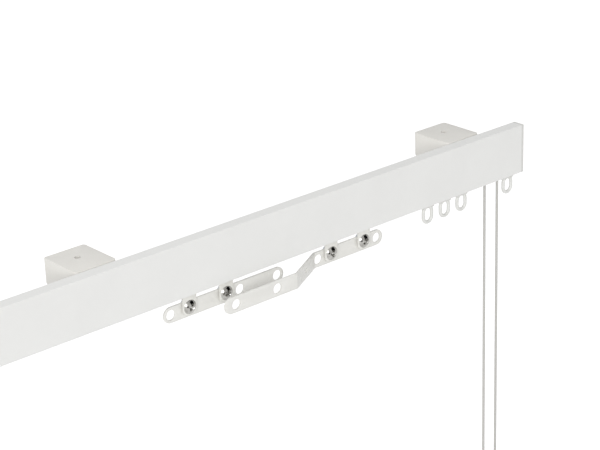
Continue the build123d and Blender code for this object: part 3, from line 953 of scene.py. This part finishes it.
@dataclass
class DrawCord:
    """The endless braided cord: two runs inside the track and a loop that hangs and carries the weight."""

    diameter: float = 2.2
    plait_length: float = 1.2
    plait_height: float = 0.11
    wheel_flange: float = 0.8
    hanging_step: float = 0.3
    hanging_sides: int = 32
    inner_step: float = 0.7
    inner_sides: int = 16
    hanging_length: float = 550.7
    # The hanging route in X and Z, in metres: down, a point about six diameters above the middle of the
    # weight's wheel, round the wheel and up again
    route: Sequence[tuple[float, float]] = (
        (0.1934, -0.0405),
        (0.1934, -0.2915),
        (0.1934, -0.3075),
        (0.1976, -0.3117),
        (0.2036, -0.3117),
        (0.2078, -0.3075),
        (0.2078, -0.2915),
        (0.2078, -0.0405),
    )

    def depth(self) -> float:
        """The cord lies in the middle of the track's depth."""
        low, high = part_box("draw_cord_inner")
        return (low.y + high.y) / 2

    def line(self, points: Sequence[tuple[float, float]], name: str) -> list[Vector]:
        """Lays a smooth curve by its control points.

        Args:
            points: The control points in X and Z, in metres.
            name: The curve's name.

        Returns:
            Close points along the curve.
        """
        data = bpy.data.curves.new(name, "CURVE")
        data.dimensions = "3D"
        spline = data.splines.new("NURBS")
        spline.points.add(len(points) - 1)
        for point, (x, z) in zip(spline.points, points):
            point.co = (x, self.depth(), z, 1)
        spline.order_u = 3
        spline.use_endpoint_u = True
        spline.resolution_u = 48
        curve = bpy.data.objects.new(name, data)
        bpy.context.scene.collection.objects.link(curve)
        traced = bpy.data.meshes.new_from_object(curve)
        places = [vertex.co.copy() for vertex in traced.vertices]
        bpy.data.objects.remove(curve)
        bpy.data.meshes.remove(traced)
        return places

    def evenly(self, places: list[Vector], step: float) -> list[Vector]:
        """Spaces points evenly along a traced line.

        Args:
            places: The traced line.
            step: The wanted distance between points, in metres.

        Returns:
            The evenly spaced points.
        """
        spans = [(b - a).length for a, b in zip(places, places[1:])]
        total = sum(spans)
        count = max(2, round(total / step))
        even, walked, span = [], 0.0, 0
        for number in range(count + 1):
            target = total * number / count
            while span < len(spans) - 1 and walked + spans[span] < target:
                walked += spans[span]
                span += 1
            share = (target - walked) / spans[span] if spans[span] else 0.0
            even.append(places[span].lerp(places[span + 1], min(share, 1.0)))
        return even

    def braided_tube(self, name: str, centres: list[Vector], sides: int, relief: float) -> bpy.types.Object:
        """Skins a line with a braid whose plaits stand out.

        Args:
            name: The piece's name.
            centres: Evenly spaced points along the cord.
            sides: Points round the cord.
            relief: How far a plait stands out, in millimetres.

        Returns:
            The new piece.
        """
        radius = self.diameter / 2 * MM
        step = (centres[1] - centres[0]).length
        across = Vector((0, 1, 0))
        points, faces, marks = [], [], []
        for row, centre in enumerate(centres):
            before, after = centres[max(row - 1, 0)], centres[min(row + 1, len(centres) - 1)]
            outward = across.cross((after - before).normalized())
            along = row * step / (self.plait_length * MM)
            for side in range(sides + 1):
                share = side / sides
                right = BRAID.plaits * share + along
                left = BRAID.plaits * share - along
                crown = abs(math.sin(math.pi * right) * math.sin(math.pi * left))
                reach = radius - relief * MM * (1 - crown)
                marks.append((share, along))
                if side < sides:
                    angle = 2 * math.pi * share
                    points.append(centre + reach * (math.cos(angle) * across + math.sin(angle) * outward))
        ring_marks = sides + 1
        corners = []
        for row in range(len(centres) - 1):
            for side in range(sides):
                beside = (side + 1) % sides
                low, high = row * sides, (row + 1) * sides
                faces.append((low + side, high + side, high + beside, low + beside))
                low, high = row * ring_marks, (row + 1) * ring_marks
                corners += [low + side, high + side, high + side + 1, low + side + 1]
        last = (len(centres) - 1) * sides
        faces.append(tuple(range(sides)))
        corners += list(range(sides))
        faces.append(tuple(last + side for side in reversed(range(sides))))
        corners += [(len(centres) - 1) * ring_marks + side for side in reversed(range(sides))]
        mesh = bpy.data.meshes.new(name)
        mesh.from_pydata(points, [], faces)
        uv_map = mesh.uv_layers.new(name="braid")
        for corner, mark in enumerate(corners):
            uv_map.data[corner].uv = marks[mark]
        mesh.update()
        piece = bpy.data.objects.new(name, mesh)
        bpy.context.scene.collection.objects.link(piece)
        shade(piece)
        return piece

    def hanging(self) -> None:
        centres = self.evenly(self.line(self.route, "hanging_line"), self.hanging_step * MM)
        cord = self.braided_tube("hanging_cord", centres, self.hanging_sides, self.plait_height)
        dress(cord, "draw_cord_falls", BRAID)

    def inside(self) -> None:
        """Makes the two runs inside the track: up, round the lower wheel, along, back and down."""
        upper, lower, far = (
            self.wheel(node) for node in ("drop_pulley_upper", "drop_pulley_lower", "return_pulley")
        )
        exit_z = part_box("draw_cord_inner")[0].z
        low_run, high_run = lower.y + lower.z, upper.y + upper.z
        places = [
            (lower.x + lower.z, exit_z),
            (lower.x + lower.z, lower.y - lower.z),
            (lower.x + lower.z, low_run),
            (lower.x - lower.z, low_run),
            (far.x + far.z, far.y - far.z),
            (far.x - far.z, far.y - far.z),
            (far.x - far.z, high_run),
            (far.x + far.z, high_run),
            (upper.x - upper.z, high_run),
            (upper.x + upper.z, high_run),
            (upper.x + upper.z, upper.y - upper.z),
            (upper.x + upper.z, exit_z),
        ]
        centres = self.evenly(self.line(places, "inner_line"), self.inner_step * MM)
        cord = self.braided_tube("inner_cord", centres, self.inner_sides, 0.0)
        dress(cord, "draw_cord_inner", BRAID)

    def wheel(self, node: str) -> Vector:
        """A wheel's centre in X and Z, and the radius that the cord takes round it.

        Args:
            node: The wheel's node.

        Returns:
            X, Z and the radius, in metres.
        """
        low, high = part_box(node)
        radius = (high.z - low.z) / 2 - self.wheel_flange * MM
        return Vector(((low.x + high.x) / 2, (low.z + high.z) / 2, radius))

    def build(self) -> None:
        """Makes both parts of the cord."""
        self.hanging()
        self.inside()


# Track, caps and the drive inside


@dataclass
class TrackBody:
    """The coated profile with its caps, and the wheels and housings inside its ends."""

    def build(self) -> None:
        """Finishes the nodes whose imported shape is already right."""
        paint("track_profile", PROFILE_COAT)
        for side in ("left", "right"):
            paint(f"end_cap_{side}", CAP_ABS)
            paint(f"track_nut_{side}", STEEL_ZINC)
            paint(f"clamp_screw_{side}", STEEL_ZINC)
        for half in ("front", "rear"):
            paint(f"drive_housing_{half}", CARRIER_NYLON)
            paint(f"return_housing_{half}", CARRIER_NYLON)
        for wheel in ("drop_pulley_upper", "drop_pulley_lower", "return_pulley"):
            paint(wheel, WHEEL_ACETAL)
        for pin in ("drop_axle_upper", "drop_axle_lower", "return_axle"):
            paint(pin, AXLE_STEEL)


@dataclass
class CeilingBrackets:
    """Two moulded blocks behind the track, with rounded outer edges and a crisp hole for the ceiling screw.

    The frame's origin lies midway between the two holes, so the middle of each lies on the X axis.
    """

    edge_round: float = 0.3
    hole_place: float = 175.5
    hole_kept_sharp: float = 4.5

    def round_outside(self, block: bpy.types.Object) -> None:
        """Rounds the block's sharp edges, apart from the rims of its ceiling hole.

        Args:
            block: The block, in metres.
        """
        with editing(block):
            bpy.ops.mesh.select_mode(type="EDGE")
            bpy.ops.mesh.select_all(action="DESELECT")
            bpy.ops.mesh.edges_select_sharp(sharpness=SMOOTH_ANGLE)
            bpy.ops.object.mode_set(mode="OBJECT")
            points = block.data.vertices
            for edge in block.data.edges:
                first, second = (points[number].co for number in edge.vertices)
                middle = (first + second) / 2
                from_hole = math.hypot(abs(middle.x) - self.hole_place * MM, middle.y)
                edge.select = edge.select and from_hole > self.hole_kept_sharp * MM
            bpy.ops.object.mode_set(mode="EDIT")
            bpy.ops.mesh.bevel(
                offset=self.edge_round * MM, segments=3, affect="EDGES", miter_outer="ARC", clamp_overlap=True
            )
        shade(block)

    def build(self) -> None:
        """Makes both blocks."""
        for side in ("left", "right"):
            node = f"bracket_body_{side}"
            block = clean_copy(node, f"ceiling_block_{side}")
            self.round_outside(block)
            dress(block, node, BRACKET_ABS)


# Gliders


@dataclass
class Gliders:
    """Moulded gliders: a head on the channel's lips, a neck, a cover plate and a round loop below.

    A glider is modelled with the bottom of its loop at the origin. Its parts are melted together, as in
    the mould, so that every inner corner has a small fillet.
    """

    length: float = 18.3
    loop_width: float = 12.0
    loop_wire: float = 3.0
    loop_thickness: float = 2.6
    hole_length: float = 9.8
    web_radius: float = 1.2
    bridge: tuple[float, float] = (14.3, 16.1)
    cover: tuple[float, float] = (15.1, 16.1)
    cover_depth: float = 6.0
    neck: tuple[float, float] = (15.6, 18.4)
    neck_length: float = 9.0
    neck_depth: float = 3.4
    head: tuple[float, float] = (17.9, 21.7)
    head_depth: float = 7.5
    voxel: float = 0.3
    # How far a round of melting moves a point towards its neighbours, as a share of the way
    melt: float = 0.5
    melt_rounds: int = 4
    nodes: Sequence[str] = (
        "glider_right_1",
        "glider_right_2",
        "glider_right_3",
        "glider_left_1",
        "glider_left_2",
        "glider_left_3",
        "end_glider_right",
        "end_glider_left",
    )

    def loop(self) -> bpy.types.Object:
        """Stretches a ring of round wire into a closed loop.

        Returns:
            The loop.
        """
        half = self.loop_width / 2
        deselect_all()
        bpy.ops.mesh.primitive_torus_add(
            major_radius=half - self.loop_wire / 2,
            minor_radius=self.loop_wire / 2,
            major_segments=72,
            minor_segments=28,
            location=(0, 0, half),
            rotation=FACING_ROOM,
        )
        ring = newest("loop")
        apply_place(ring)
        stretch = self.hole_length - (self.loop_width - 2 * self.loop_wire)
        with editing(ring):
            pick_points(ring, lambda place: place.z > half)
            bpy.ops.transform.translate(value=(0, 0, stretch))
        ring.scale.y = self.loop_thickness / self.loop_wire
        apply_place(ring)
        return ring

    def slab(self, length: float, depth: float, span: tuple[float, float]) -> bpy.types.Object:
        """A block of the glider between two heights.

        Args:
            length: Its length along the track.
            depth: Its depth.
            span: Its lowest and highest level.

        Returns:
            The block.
        """
        low, high = span
        return box_solid((length, depth, high - low), (0, 0, (low + high) / 2))

    def web(self, side: int) -> bpy.types.Object:
        """The fillet between the bridge and one side of the loop.

        Args:
            side: -1 for the left and 1 for the right.

        Returns:
            The fillet.
        """
        reach = self.web_radius
        low = self.bridge[0] - reach
        inset = self.loop_wire / 2
        middle = side * (self.loop_width / 2 + (reach - inset) / 2)
        block = box_solid(
            (reach + inset, self.loop_thickness, reach + inset), (middle, 0, low + (reach + inset) / 2)
        )
        round_cut = round_solid(
            reach, self.length, (side * (self.loop_width / 2 + reach), 0, low), FACING_ROOM
        )
        combine(block, round_cut, Boolean.CUT)
        return block

    def model(self) -> bpy.types.Object:
        """Models one glider.

        Returns:
            The glider, in millimetres.
        """
        parts = [
            self.loop(),
            self.slab(self.length, self.loop_thickness, self.bridge),
            self.slab(self.length, self.cover_depth, self.cover),
            self.slab(self.neck_length, self.neck_depth, self.neck),
            self.slab(self.length, self.head_depth, self.head),
            self.web(-1),
            self.web(1),
        ]
        glider = join(parts)
        apply_modifier(glider, "REMESH", mode="VOXEL", voxel_size=self.voxel, adaptivity=0.0)
        apply_modifier(glider, "SMOOTH", factor=self.melt, iterations=self.melt_rounds)
        pick_only(glider)
        bpy.ops.object.shade_smooth()
        return glider

    def build(self) -> None:
        """Models one glider and places a copy at each node."""
        first = self.model()
        for node in self.nodes:
            low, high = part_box(node)
            glider = copy_of(first, node.replace("glider", "runner"))
            settle(glider, Vector(((low.x + high.x) / 2, (low.y + high.y) / 2, low.z)))
            dress(glider, node, GLIDER_ACETAL)
        bpy.data.objects.remove(first)


# Carriers and overlap arms


@dataclass
class OverlapArm:
    """A coated steel strip with hook holes, straight or stepped forwards.

    It is modelled with its left end at X = 0, the middle of its rear strip's thickness at Y = 0 and the
    middle of its height at Z = 0.
    """

    node: str
    name: str
    hooks: tuple[float, ...]
    screws: tuple[float, ...]
    screw_lift: float = 2.3
    fold_front: float = 0.0
    fold_rear: float = 0.0
    step: float = 0.0
    height: float = 12.2
    thickness: float = 1.5
    hook_hole: float = 7.5
    screw_hole: float = 5.3
    fold_hole: float = 4.0
    bend_radius: float = 1.6
    bend_facets: int = 6
    edge_round: float = 0.28

    def outline(self, length: float) -> bpy.types.Object:
        """Stretches a round blank into a strip with round ends.

        Args:
            length: The strip's length.

        Returns:
            The flat blank.
        """
        half = self.height / 2
        deselect_all()
        # Two sides more than a multiple of four, so that no point lies on the line where it is stretched
        bpy.ops.mesh.primitive_circle_add(
            vertices=74, radius=half, fill_type="NGON", location=(half, 0, 0), rotation=FACING_ROOM
        )
        strip = newest(self.name)
        apply_place(strip)
        with editing(strip):
            pick_points(strip, lambda place: place.x > half)
            bpy.ops.transform.translate(value=(length - self.height, 0, 0))
        return strip

    def fold(self, strip: bpy.types.Object) -> None:
        """Steps the left part of the strip forwards over two folds.

        Args:
            strip: The flat blank.
        """
        turn = math.atan2(self.step, self.fold_rear - self.fold_front)
        with editing(strip):
            for place_x in (self.fold_front, self.fold_rear):
                bpy.ops.mesh.select_all(action="SELECT")
                bpy.ops.mesh.bisect(plane_co=(place_x, 0, 0), plane_no=(1, 0, 0))
            pick_points(strip, lambda place: place.x < self.fold_front + HAIR)
            bpy.ops.transform.translate(value=(0, -self.step, 0))
            pick_points(
                strip,
                lambda place: min(abs(place.x - self.fold_front), abs(place.x - self.fold_rear)) < HAIR,
            )
            bpy.ops.mesh.bevel(
                offset=self.bend_radius * math.tan(turn / 2),
                segments=self.bend_facets,
                affect="EDGES",
                profile=0.5,
            )

    def punch(self, strip: bpy.types.Object) -> None:
        """Cuts every hole through the strip.

        Args:
            strip: The strip with its thickness.
        """
        through = 2 * self.step + 4 * self.thickness
        rods = [round_solid(self.hook_hole / 2, through, (x, 0, 0), FACING_ROOM) for x in self.hooks]
        rods += [
            round_solid(self.screw_hole / 2, through, (x, 0, self.screw_lift), FACING_ROOM)
            for x in self.screws
        ]
        if self.step:
            turn = math.atan2(self.step, self.fold_rear - self.fold_front)
            middle = ((self.fold_front + self.fold_rear) / 2, -self.step / 2, 0)
            rods.append(
                round_solid(self.fold_hole / 2, 3 * self.thickness, middle, (math.pi / 2, 0, turn))
            )
        combine(strip, join(rods), Boolean.CUT)

    def build(self) -> None:
        """Makes the arm at its node."""
        low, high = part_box(self.node)
        strip = self.outline((high.x - low.x) / MM)
        if self.step:
            self.fold(strip)
        apply_modifier(strip, "SOLIDIFY", thickness=self.thickness, offset=0.0, use_even_offset=True)
        self.punch(strip)
        soften_edges(strip, self.edge_round)
        settle(strip, Vector((low.x, high.y - self.thickness / 2 * MM, (low.z + high.z) / 2)))
        dress(strip, self.node, ARM_COAT)


@dataclass
class PanScrew:
    """A pan-head screw with a cross recess, modelled with its seat at the origin and its head along +Z."""

    head: float
    head_height: float
    rim: float
    shank: float
    reach: float
    recess: float
    recess_width: float
    recess_depth: float
    edge_round: float = 0.09
    rings: int = 9
    # Shares of the recess: the wing's length and width at its bottom, the core's radii, height and middle
    wing_taper: tuple[float, float] = (0.5, 0.72)
    core_taper: tuple[float, float] = (0.35, 1.15)
    core_height: float = 1.15
    core_middle: float = 0.5
    # How far a wing's cutter stands above the head, and the tip's chamfer as a share of the shank
    above: float = 1.0
    tip_chamfer: float = 0.1

    def dome(self, screw: bpy.types.Object) -> None:
        """Raises the head's top face ring by ring into a dome.

        Args:
            screw: The head's plain rim.
        """
        rise = self.head_height - self.rim
        radius = ((self.head / 2) ** 2 + rise**2) / (2 * rise)
        widest = math.asin(self.head / 2 / radius)
        before = (self.head / 2, self.rim)
        with editing(screw):
            pick_faces(screw, lambda face: face.normal.z > NEARLY_SQUARE)
            for ring in range(1, self.rings + 1):
                angle = widest * (1 - ring / (self.rings + 1))
                now = (radius * math.sin(angle), self.rim + rise - radius * (1 - math.cos(angle)))
                bpy.ops.mesh.extrude_region_move(
                    TRANSFORM_OT_translate={"value": (0, 0, now[1] - before[1])}
                )
                share = now[0] / before[0]
                bpy.ops.transform.resize(value=(share, share, 1), center_override=(0, 0, now[1]))
                before = now

    def recess_wing(self, turn: float) -> bpy.types.Object:
        """One wing of the cross, narrower towards its bottom.

        Args:
            turn: Its angle about the screw.

        Returns:
            The cutter.
        """
        top = self.head_height + self.above
        low = self.head_height - self.recess_depth
        wing = box_solid((self.recess, self.recess_width, top - low), (0, 0, (top + low) / 2))
        with editing(wing):
            pick_points(wing, lambda place: place.z < low + self.above / 2)
            bpy.ops.transform.resize(value=(*self.wing_taper, 1), center_override=(0, 0, low))
        wing.rotation_euler.z = turn
        apply_place(wing)
        return wing

    def model(self, name: str) -> bpy.types.Object:
        """Models the screw.

        Args:
            name: The piece's name.

        Returns:
            The screw, in millimetres.
        """
        screw = round_solid(self.head / 2, self.rim, (0, 0, self.rim / 2), sides=96)
        screw.name = name
        self.dome(screw)
        bottom = self.head_height - self.recess_depth
        deselect_all()
        bpy.ops.mesh.primitive_cone_add(
            vertices=32,
            radius1=self.recess_width * self.core_taper[0],
            radius2=self.recess_width * self.core_taper[1],
            depth=self.recess_depth * self.core_height,
            location=(0, 0, bottom + self.recess_depth * self.core_middle),
        )
        core = newest("recess_core")
        apply_place(core)
        for cutter in (self.recess_wing(0.0), self.recess_wing(math.pi / 2), core):
            combine(screw, cutter, Boolean.CUT)
        stem = round_solid(self.shank / 2, self.reach + self.rim / 2, (0, 0, (self.rim / 2 - self.reach) / 2))
        with editing(stem):
            pick_faces(stem, lambda face: face.normal.z < -NEARLY_SQUARE)
            bpy.ops.mesh.bevel(offset=self.shank * self.tip_chamfer, segments=1, affect="EDGES")
        combine(screw, stem, Boolean.FUSE)
        soften_edges(screw, self.edge_round, 2)
        return screw


@dataclass
class HexNut:
    """A hexagon nut with chamfered corners, modelled from its seat at the origin along +Z."""

    flats: float = 8.0
    thickness: float = 2.7
    bore: float = 5.04
    chamfer: float = 0.35
    chamfer_inset: float = 0.1
    # The turned blank's radius over the nut's radius to its corners
    oversize: float = 1.01
    edge_round: float = 0.06

    def model(self) -> bpy.types.Object:
        """Models the nut.

        Returns:
            The nut, in millimetres.
        """
        corner = self.flats / math.sqrt(3)
        nut = round_solid(corner, self.thickness, (0, 0, self.thickness / 2), (0, 0, math.pi / 6), 6)
        turned = round_solid(corner * self.oversize, self.thickness, (0, 0, self.thickness / 2))
        share = (self.flats / 2 - self.chamfer_inset) / (corner * self.oversize)
        with editing(turned):
            for level, way in ((self.thickness, -1), (0.0, 1)):
                pick_faces(turned, lambda face, level=level: abs(face.center.z - level) < HAIR)
                bpy.ops.mesh.extrude_region_move(TRANSFORM_OT_translate={"value": (0, 0, 0)})
                bpy.ops.transform.resize(value=(share, share, 1), center_override=(0, 0, level))
                pick_points(
                    turned,
                    lambda place, level=level: abs(place.z - level) < HAIR
                    and place.xy.length > self.flats / 2,
                )
                bpy.ops.transform.translate(value=(0, 0, way * self.chamfer))
        combine(nut, turned, Boolean.KEEP)
        combine(nut, round_solid(self.bore / 2, 3 * self.thickness, (0, 0, 0)), Boolean.CUT)
        soften_edges(nut, self.edge_round, 2)
        return nut


@dataclass
class Fixings:
    """The screws and nuts of the arms, and the small screws that keep the housings in the track."""

    arm_screw: PanScrew = field(
        default_factory=lambda: PanScrew(10.6, 3.3, 1.0, 5.0, 6.6, 7.2, 2.0, 2.2)
    )
    housing_screw: PanScrew = field(
        default_factory=lambda: PanScrew(5.2, 1.4, 0.5, 2.9, 4.9, 2.9, 0.8, 0.9, 0.05)
    )
    nut: HexNut = field(default_factory=HexNut)

    def pair(self, node: str, half_width: float) -> tuple[float, float, float]:
        """The two places in a node that holds a pair of like pieces.

        Args:
            node: The node.
            half_width: Half the width of one piece, in millimetres.

        Returns:
            X of the first and of the second piece and Z of both, in metres.
        """
        low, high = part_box(node)
        return low.x + half_width * MM, high.x - half_width * MM, (low.z + high.z) / 2

    def place_pair(
        self,
        model: bpy.types.Object,
        node: str,
        half_width: float,
        seat_y: float,
        finish: Finish,
        turns: tuple[float, float] = (0.0, 0.0),
    ) -> None:
        """Sets two copies of a piece at a node's two places.

        Args:
            model: The piece in millimetres, already turned the right way.
            node: The node that holds both.
            half_width: Half the width of one piece, in millimetres.
            seat_y: Where its seat lies, in metres.
            finish: Its finish.
            turns: How far the first and the second piece are turned in, in radians.
        """
        first_x, second_x, height = self.pair(node, half_width)
        for number, place_x, turn in ((1, first_x, turns[0]), (2, second_x, turns[1])):
            piece = copy_of(model, f"{node.replace('screws', 'screw').replace('nuts', 'nut')}_{number}")
            piece.rotation_euler.y = turn
            settle(piece, Vector((place_x, seat_y, height)))
            dress(piece, node, finish)

    def build(self) -> None:
        """Makes every screw and nut."""
        screw = self.arm_screw.model("arm_screw")
        screw.rotation_euler.x = math.pi / 2
        apply_place(screw)
        nut = self.nut.model()
        nut.rotation_euler.x = -math.pi / 2
        apply_place(nut)
        corner = self.nut.flats / math.sqrt(3)
        for side, turns in (("left", (0.5, -0.25)), ("right", (0.15, 1.0))):
            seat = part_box(f"arm_screws_{side}")[0].y + self.arm_screw.head_height * MM
            self.place_pair(
                screw, f"arm_screws_{side}", self.arm_screw.head / 2, seat, SCREW_NICKEL, turns
            )
            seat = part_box(f"arm_nuts_{side}")[0].y
            self.place_pair(nut, f"arm_nuts_{side}", corner, seat, STEEL_ZINC)
        small = self.housing_screw.model("housing_screw")
        small.rotation_euler.x = -math.pi / 2
        apply_place(small)
        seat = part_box("housing_screws")[1].y - self.housing_screw.head_height * MM
        self.place_pair(
            small, "housing_screws", self.housing_screw.head / 2, seat, STEEL_ZINC
        )
        for model in (screw, nut, small):
            bpy.data.objects.remove(model)


@dataclass
class Carriers:
    """The two master carriers with their cord clamps and overlap arms."""

    edge_round: float = 0.35
    rear_arm: OverlapArm = field(
        default_factory=lambda: OverlapArm(
            "overlap_arm_rear", "rear_arm", hooks=(6.1, 68.3, 103.2), screws=(21.2, 54.2)
        )
    )
    front_arm: OverlapArm = field(
        default_factory=lambda: OverlapArm(
            "overlap_arm_front",
            "front_arm",
            hooks=(10.3, 48.3, 103.7, 162.8),
            screws=(115.0, 148.0),
            fold_front=66.9,
            fold_rear=100.1,
            step=18.5,
        )
    )

    def build(self) -> None:
        """Makes the carriers, the clamps and the arms."""
        for side in ("left", "right"):
            node = f"carrier_{side}"
            carrier = softened_copy(node, f"master_carrier_{side}", self.edge_round)
            dress(carrier, node, CARRIER_NYLON)
            paint(f"cord_clamp_{side}", STEEL_ZINC)
        self.rear_arm.build()
        self.front_arm.build()


@dataclass
class CordWeight:
    """The moulded weight that pulls the cords straight."""

    edge_round: float = 0.45

    def build(self) -> None:
        """Makes the weight's body and finishes what it holds."""
        body = softened_copy("weight_shell", "weight_body", self.edge_round)
        dress(body, "weight_shell", WEIGHT_PLASTIC)
        paint("weight_cap", WEIGHT_PLASTIC)
        paint("weight_core", CORE_STEEL)
        paint("weight_pulley", WHEEL_ACETAL)
        paint("weight_axle", AXLE_STEEL)


def main() -> None:
    """Builds the studio and every sub-assembly."""
    logging.basicConfig(level=logging.INFO, format="%(message)s")
    Studio().build()
    CordWeight().build()
    DrawCord().build()
    TrackBody().build()
    CeilingBrackets().build()
    Gliders().build()
    Carriers().build()
    Fixings().build()


if __name__ == "__main__":
    main()
